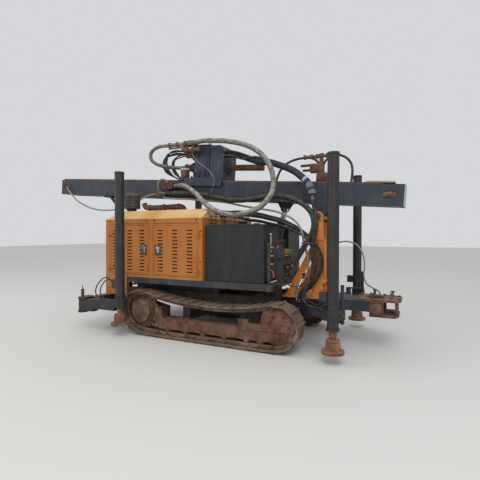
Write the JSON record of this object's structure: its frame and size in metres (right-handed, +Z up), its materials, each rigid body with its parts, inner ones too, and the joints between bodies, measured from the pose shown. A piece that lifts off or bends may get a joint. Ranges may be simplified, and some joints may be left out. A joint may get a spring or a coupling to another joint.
{
  "type": "crawler-mounted rotary drilling rig",
  "caption": "Crawler-mounted rotary drilling rig with a hinged mast laid flat, sliding rotary head, side power hood with doors, and four swing-out jack legs.",
  "frame": {"origin": "on the ground under the middle of the machine's overall length and width", "axes": "+X towards the drilling end, +Y to the far side, +Z up"},
  "size_m": [5.7398, 2.3078, 2.7411],
  "materials": {
    "orange_paint": "worn",
    "roof_paint": "worn",
    "dark_paint": "worn",
    "frame_paint": "worn",
    "mast_paint": "worn",
    "head_paint": "worn",
    "tank_paint": "worn",
    "rusty_steel": "worn",
    "dusty_steel": "worn",
    "chrome_rod": "worn",
    "engine_block": "worn"
  },
  "bodies": {
    "rig": {"main_rails": "frame_paint", "cross_beams": "frame_paint", "nose_beam": "head_paint", "deck_frame": "frame_paint", "track_frames": "rusty_steel", "rollers": "dusty_steel", "drive_sprockets": "dusty_steel", "track_near": "dusty_steel", "track_far": "dusty_steel", "hood_frame": "orange_paint", "hood_roof": "roof_paint", "power_pack": "engine_block", "oil_tank": "tank_paint", "fuel_tank": "tank_paint", "valve_bank": "dark_paint", "mast_support": "orange_paint", "rod_table": "rusty_steel", "air_cleaner": "dark_paint", "mast_rest": "mast_paint", "hose_rings": "dark_paint"},
    "door_near_rear": {"door_near_rear": "orange_paint"},
    "door_near_front": {"door_near_front": "orange_paint"},
    "door_far_rear": {"door_far_rear": "orange_paint"},
    "door_far_front": {"door_far_front": "orange_paint"},
    "mast": {"mast_beam": "mast_paint", "mast_rails": "rusty_steel", "feed_sprockets": "rusty_steel", "mast_brackets": "rusty_steel"},
    "head": {"head_carriage": "head_paint", "head_gearbox": "head_paint", "head_motors": "rusty_steel"},
    "spindle": {"drill_spindle": "rusty_steel"},
    "raise_barrel": {"raise_barrel": "dark_paint"},
    "raise_rod": {"raise_rod": "chrome_rod"},
    "arm_rear_near": {"outrigger_rear_near": "dark_paint"},
    "arm_rear_far": {"outrigger_rear_far": "dark_paint"},
    "arm_front_near": {"outrigger_front_near": "dark_paint"},
    "arm_front_far": {"outrigger_front_far": "dark_paint"},
    "jack_rear_near": {"foot_rear_near": "rusty_steel"},
    "jack_rear_far": {"foot_rear_far": "rusty_steel"},
    "jack_front_near": {"foot_front_near": "rusty_steel"},
    "jack_front_far": {"foot_front_far": "rusty_steel"}
  },
  "joints": [
    {"name": "mast_raise", "type": "hinge", "parent": "rig", "child": "mast", "pos_m": [1.86, 0, 1.635], "axis": [0, 1, 0], "range_deg": [0, 85.96]},
    {"name": "raise_barrel_tilt", "type": "hinge", "parent": "rig", "child": "raise_barrel", "pos_m": [1.05, 0, 0.7], "axis": [0, 1, 0], "range_deg": [-0.02, 16.41]},
    {"name": "raise_rod_slide", "type": "slide", "parent": "raise_barrel", "child": "raise_rod", "axis": [0.2573, 0, 0.9663], "range_m": [-0.0002, 0.62886]},
    {"name": "head_feed", "type": "slide", "parent": "mast", "child": "head", "axis": [0.9975, 0, -0.0704], "range_m": [-2, 1.6]},
    {"name": "spindle_turn", "type": "hinge", "parent": "head", "child": "spindle", "pos_m": [0.72362, 0, 2.38029], "axis": [0.9975, 0, -0.0704], "continuous": true},
    {"name": "door_near_front_hinge", "type": "hinge", "parent": "rig", "child": "door_near_front", "pos_m": [0.405, -0.81, 1.2], "axis": [0, 0, 1], "range_deg": [0, 110]},
    {"name": "door_near_rear_hinge", "type": "hinge", "parent": "rig", "child": "door_near_rear", "pos_m": [-1.118, -0.81, 1.2], "axis": [0, 0, 1], "range_deg": [-18, 0]},
    {"name": "door_far_front_hinge", "type": "hinge", "parent": "rig", "child": "door_far_front", "pos_m": [0.405, 0.81, 1.2], "axis": [0, 0, 1], "range_deg": [-110, 0]},
    {"name": "door_far_rear_hinge", "type": "hinge", "parent": "rig", "child": "door_far_rear", "pos_m": [-1.118, 0.81, 1.2], "axis": [0, 0, 1], "range_deg": [0, 18]},
    {"name": "arm_rear_near_swing", "type": "hinge", "parent": "rig", "child": "arm_rear_near", "pos_m": [-1.429, -1.03, 0.4], "axis": [0, 0, 1], "range_deg": [-100, 0]},
    {"name": "arm_rear_far_swing", "type": "hinge", "parent": "rig", "child": "arm_rear_far", "pos_m": [-1.429, 1.03, 0.4], "axis": [0, 0, 1], "range_deg": [0, 100]},
    {"name": "arm_front_near_swing", "type": "hinge", "parent": "rig", "child": "arm_front_near", "pos_m": [2.262, -0.83, 0.4], "axis": [0, 0, 1], "range_deg": [0, 100]},
    {"name": "arm_front_far_swing", "type": "hinge", "parent": "rig", "child": "arm_front_far", "pos_m": [2.262, 0.83, 0.4], "axis": [0, 0, 1], "range_deg": [-100, 0]},
    {"name": "jack_rear_near_slide", "type": "slide", "parent": "arm_rear_near", "child": "jack_rear_near", "axis": [0, 0, -1], "range_m": [0, 1.3]},
    {"name": "jack_rear_far_slide", "type": "slide", "parent": "arm_rear_far", "child": "jack_rear_far", "axis": [0, 0, -1], "range_m": [0, 1.3]},
    {"name": "jack_front_near_slide", "type": "slide", "parent": "arm_front_near", "child": "jack_front_near", "axis": [0, 0, -1], "range_m": [0, 1.3]},
    {"name": "jack_front_far_slide", "type": "slide", "parent": "arm_front_far", "child": "jack_front_far", "axis": [0, 0, -1], "range_m": [0, 1.3]}
  ],
  "couplings": [
    {"joint": "raise_barrel_tilt", "follows": "mast_raise", "ratio": 0.19033},
    {"joint": "raise_rod_slide", "follows": "mast_raise", "m_per_rad": 0.41883}
  ]
}
